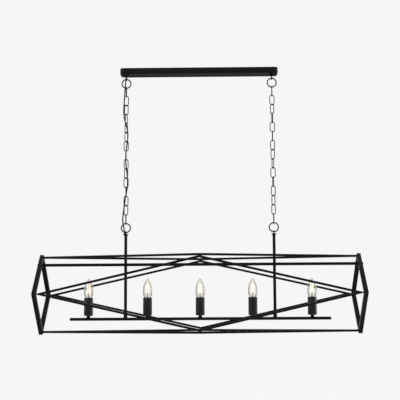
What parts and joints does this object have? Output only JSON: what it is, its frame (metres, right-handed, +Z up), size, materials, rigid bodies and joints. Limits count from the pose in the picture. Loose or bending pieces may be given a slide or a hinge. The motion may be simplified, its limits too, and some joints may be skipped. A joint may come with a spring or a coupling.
{
  "type": "linear island pendant",
  "caption": "Black linear pendant: bar canopy, two ring-and-chain hangers and an open faceted cage round a bar of candle lamps.",
  "frame": {"origin": "middle of the ceiling bracket's top face, on the ceiling", "axes": "+X along the pendant to the viewer's right, +Y away from the viewer, +Z up"},
  "size_m": [1.202, 0.3548, 0.9902],
  "materials": {
    "black_paint": "matte black powder coat",
    "black_wire": "satin black wire",
    "flex_sheath": "smooth black sheath",
    "zinc_steel": "zinc plated",
    "white_plastic": "moulded",
    "black_plastic": "moulded",
    "clear_glass": "clear",
    "nickel_cap": "nickel plated"
  },
  "bodies": {
    "canopy": {"canopy_shell": "black_paint", "ceiling_bracket": "zinc_steel", "canopy_screws": "black_paint", "terminal_block": "white_plastic", "left_canopy_loop": "black_paint", "right_canopy_loop": "black_paint", "loop_locknuts": "zinc_steel", "cord_bushing": "black_plastic", "flex_lead": "flex_sheath"},
    "top_rings": {"left_top_ring": "black_wire", "right_top_ring": "black_wire"},
    "left_hanger": {"left_chain": "black_wire", "flex_cord": "flex_sheath"},
    "right_hanger": {"right_chain": "black_wire"},
    "lower_rings": {"left_lower_ring": "black_wire", "right_lower_ring": "black_wire"},
    "fixture": {"left_rod_eye": "black_paint", "right_rod_eye": "black_paint", "left_rod": "black_paint", "right_rod": "black_paint", "rod_feet": "black_paint", "rod_grub_screws": "black_paint", "hanger_bar": "black_paint", "end_crosspieces": "black_paint", "end_bolts": "black_paint", "lamp_bar": "black_paint", "lamp_necks": "black_paint", "lampholders": "black_plastic", "flex_tail": "flex_sheath", "lamp_cup_1": "black_paint", "lamp_cup_2": "black_paint", "lamp_cup_3": "black_paint", "lamp_cup_4": "black_paint", "lamp_cup_5": "black_paint", "left_front_upper_tube": "black_paint", "left_front_lower_tube": "black_paint", "left_back_upper_tube": "black_paint", "left_back_lower_tube": "black_paint", "right_front_upper_tube": "black_paint", "right_front_lower_tube": "black_paint", "right_back_upper_tube": "black_paint", "right_back_lower_tube": "black_paint", "top_front_rail": "black_paint", "top_back_rail": "black_paint", "bottom_front_rail": "black_paint", "bottom_back_rail": "black_paint", "front_upper_rail": "black_paint", "front_lower_rail": "black_paint", "back_upper_rail": "black_paint", "back_lower_rail": "black_paint"},
    "bulb_1": {"bulb_1_glass": "clear_glass", "bulb_1_base": "nickel_cap"},
    "bulb_2": {"bulb_2_glass": "clear_glass", "bulb_2_base": "nickel_cap"},
    "bulb_3": {"bulb_3_glass": "clear_glass", "bulb_3_base": "nickel_cap"},
    "bulb_4": {"bulb_4_glass": "clear_glass", "bulb_4_base": "nickel_cap"},
    "bulb_5": {"bulb_5_glass": "clear_glass", "bulb_5_base": "nickel_cap"}
  },
  "joints": [
    {"name": "front_back_swing", "type": "hinge", "parent": "canopy", "child": "top_rings", "pos_m": [0, 0, -0.03675], "axis": [1, 0, 0], "range_deg": [-12, 12]},
    {"name": "side_sway", "type": "hinge", "parent": "top_rings", "child": "left_hanger", "pos_m": [-0.274, 0, -0.06628], "axis": [0, 1, 0], "range_deg": [-10, 10]},
    {"name": "right_side_sway", "type": "hinge", "parent": "top_rings", "child": "right_hanger", "pos_m": [0.274, 0, -0.06628], "axis": [0, 1, 0], "range_deg": [-10, 10]},
    {"name": "level_keeping", "type": "hinge", "parent": "left_hanger", "child": "lower_rings", "pos_m": [-0.274, 0, -0.58732], "axis": [0, 1, 0], "range_deg": [-10, 10]},
    {"name": "fixture_tilt", "type": "hinge", "parent": "lower_rings", "child": "fixture", "pos_m": [0, 0, -0.61685], "axis": [1, 0, 0], "range_deg": [-10, 10]},
    {"name": "bulb_1_turn", "type": "hinge", "parent": "fixture", "child": "bulb_1", "pos_m": [-0.41, 0, -0.872], "axis": [0, 0, 1], "range_deg": [0, 1080]},
    {"name": "bulb_2_turn", "type": "hinge", "parent": "fixture", "child": "bulb_2", "pos_m": [-0.193, 0, -0.872], "axis": [0, 0, 1], "range_deg": [0, 1080]},
    {"name": "bulb_3_turn", "type": "hinge", "parent": "fixture", "child": "bulb_3", "pos_m": [0, 0, -0.872], "axis": [0, 0, 1], "range_deg": [0, 1080]},
    {"name": "bulb_4_turn", "type": "hinge", "parent": "fixture", "child": "bulb_4", "pos_m": [0.193, 0, -0.872], "axis": [0, 0, 1], "range_deg": [0, 1080]},
    {"name": "bulb_5_turn", "type": "hinge", "parent": "fixture", "child": "bulb_5", "pos_m": [0.41, 0, -0.872], "axis": [0, 0, 1], "range_deg": [0, 1080]}
  ],
  "couplings": [
    {"joint": "right_side_sway", "follows": "side_sway", "ratio": 1},
    {"joint": "level_keeping", "follows": "side_sway", "ratio": -1}
  ]
}
